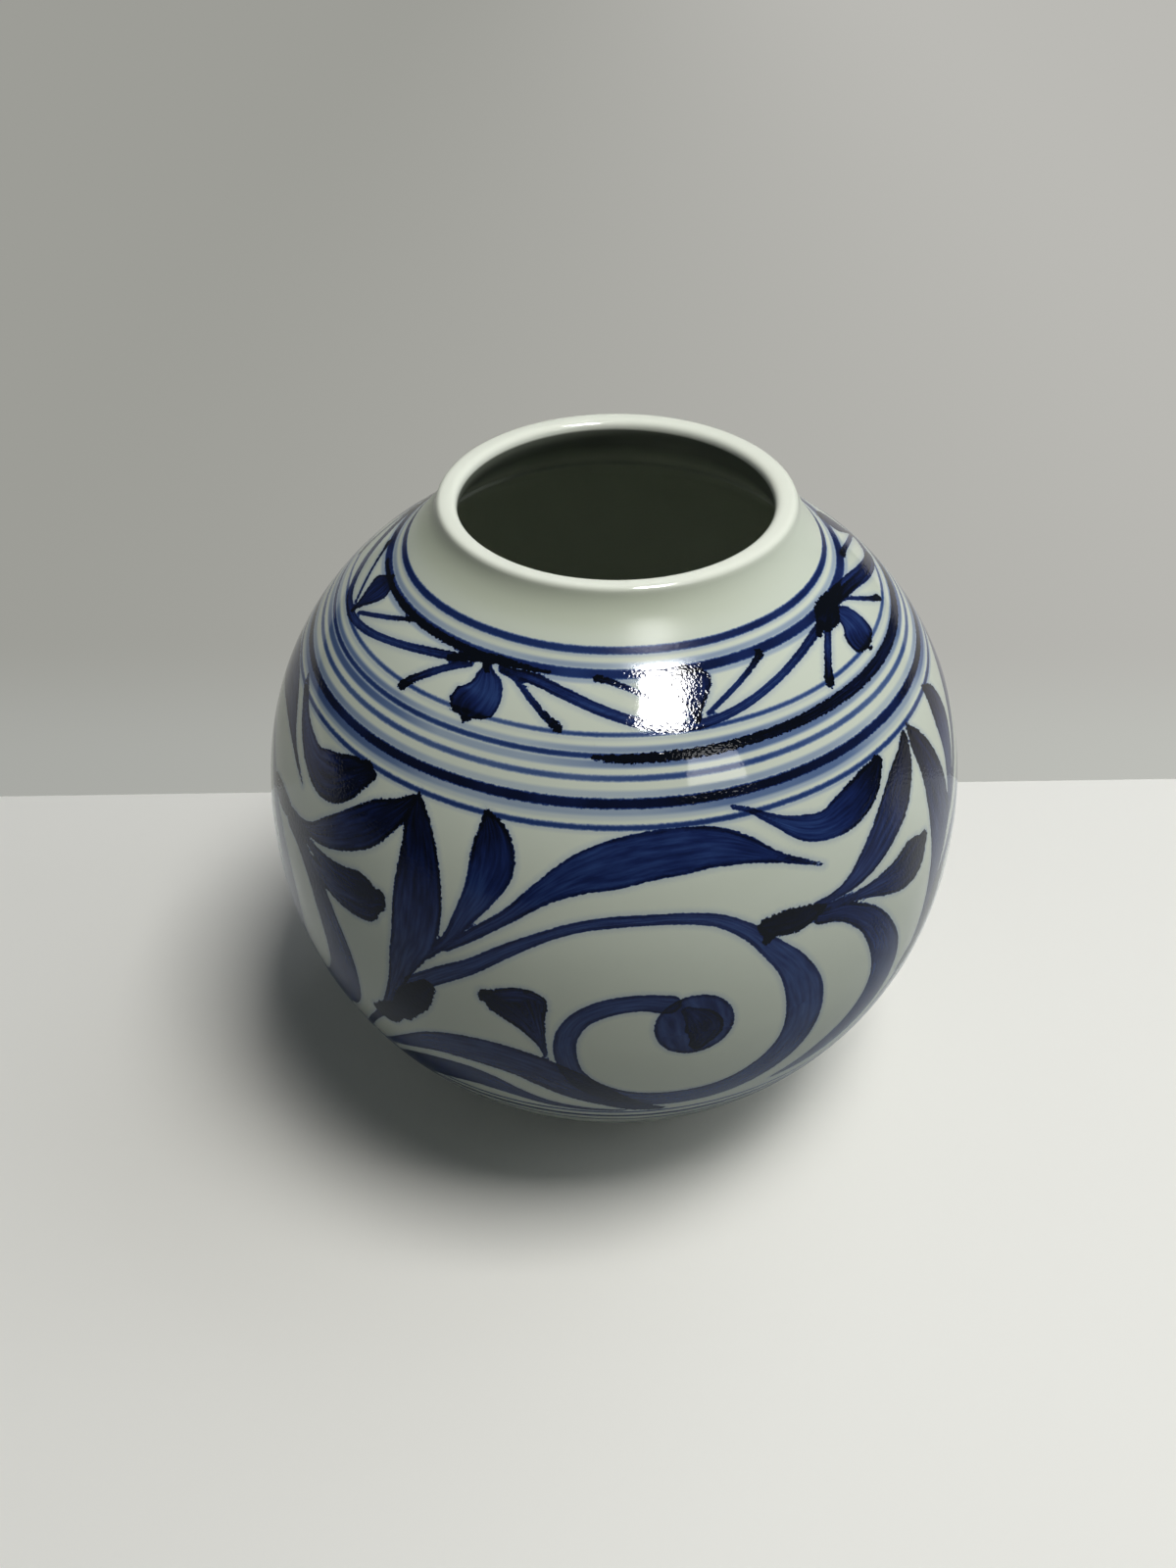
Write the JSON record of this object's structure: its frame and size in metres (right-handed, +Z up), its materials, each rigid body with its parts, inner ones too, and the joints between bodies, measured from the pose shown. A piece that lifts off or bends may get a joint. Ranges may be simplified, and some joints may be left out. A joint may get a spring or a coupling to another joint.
{
  "type": "jar",
  "caption": "Globular porcelain jar with a short collar, a rolled lip and a foot ring, open at the top, with painted bands and leafy scrolls.",
  "frame": {"origin": "centre of the foot ring, on the surface the jar stands on", "axes": "+Z up along the jar's axis of revolution; +X and +Y lie in the plane of the foot ring, with -Y towards the viewer of the picture"},
  "size_m": [0.195, 0.195, 0.1847],
  "materials": {
    "glazed_porcelain": "clear slightly grey-green glaze over white porcelain painted in cobalt blue, glossy",
    "bare_porcelain": "unglazed fired porcelain, matte",
    "fired_slip": "porcelain slip fired between the sections"
  },
  "bodies": {
    "root": {"foot_ring": "bare_porcelain", "foot_seam": "fired_slip", "lower_bowl": "glazed_porcelain", "belly_seam": "fired_slip", "upper_bowl": "glazed_porcelain", "collar_seam": "fired_slip", "collar": "glazed_porcelain"}
  },
  "joints": []
}
